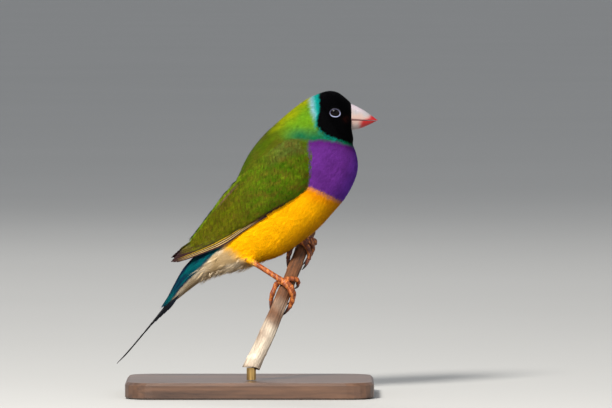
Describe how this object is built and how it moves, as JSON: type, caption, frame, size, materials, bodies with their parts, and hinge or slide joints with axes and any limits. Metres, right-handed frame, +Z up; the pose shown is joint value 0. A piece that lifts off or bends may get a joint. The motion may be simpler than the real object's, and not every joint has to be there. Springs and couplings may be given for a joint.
{
  "type": "gouldian finch model",
  "caption": "Life-size still model of a black-headed gouldian finch gripping a short cut perch, held by a rod on a flat display base.",
  "frame": {"origin": "middle of the underside of the display base", "axes": "+Z up, +X the way the bird faces, +Y to the bird's left"},
  "size_m": [0.095, 0.064, 0.1107],
  "materials": {
    "black_feathers": "soft matt plumage",
    "nape_feathers": "soft satin plumage",
    "belly_feathers": "soft matt plumage",
    "rump_feathers": "soft satin plumage",
    "wing_feathers": "satin flight feathers",
    "tail_feathers": "satin tail feathers",
    "bill_horn": "smooth horn with a soft gloss",
    "eye_dark": "wet gloss",
    "leg_scales": "scaled skin",
    "claw_horn": "smooth horn",
    "perch_bark": "thin dry bark",
    "stand_wood": "dark stained satin wood",
    "stand_brass": "satin brass"
  },
  "bodies": {
    "root": {"head": "black_feathers", "neck": "nape_feathers", "torso": "belly_feathers", "rump": "rump_feathers", "tail": "tail_feathers", "wing_right": "wing_feathers", "wing_left": "wing_feathers", "bill_upper": "bill_horn", "bill_lower": "bill_horn", "eye_right": "eye_dark", "eye_left": "eye_dark", "leg_right": "leg_scales", "leg_left": "leg_scales", "foot_right": "leg_scales", "foot_left": "leg_scales", "claw_hallux_right": "claw_horn", "claw_inner_right": "claw_horn", "claw_middle_right": "claw_horn", "claw_outer_right": "claw_horn", "claw_hallux_left": "claw_horn", "claw_inner_left": "claw_horn", "claw_middle_left": "claw_horn", "claw_outer_left": "claw_horn", "perch": "perch_bark", "stand_base": "stand_wood", "stand_rod": "stand_brass"}
  },
  "joints": []
}
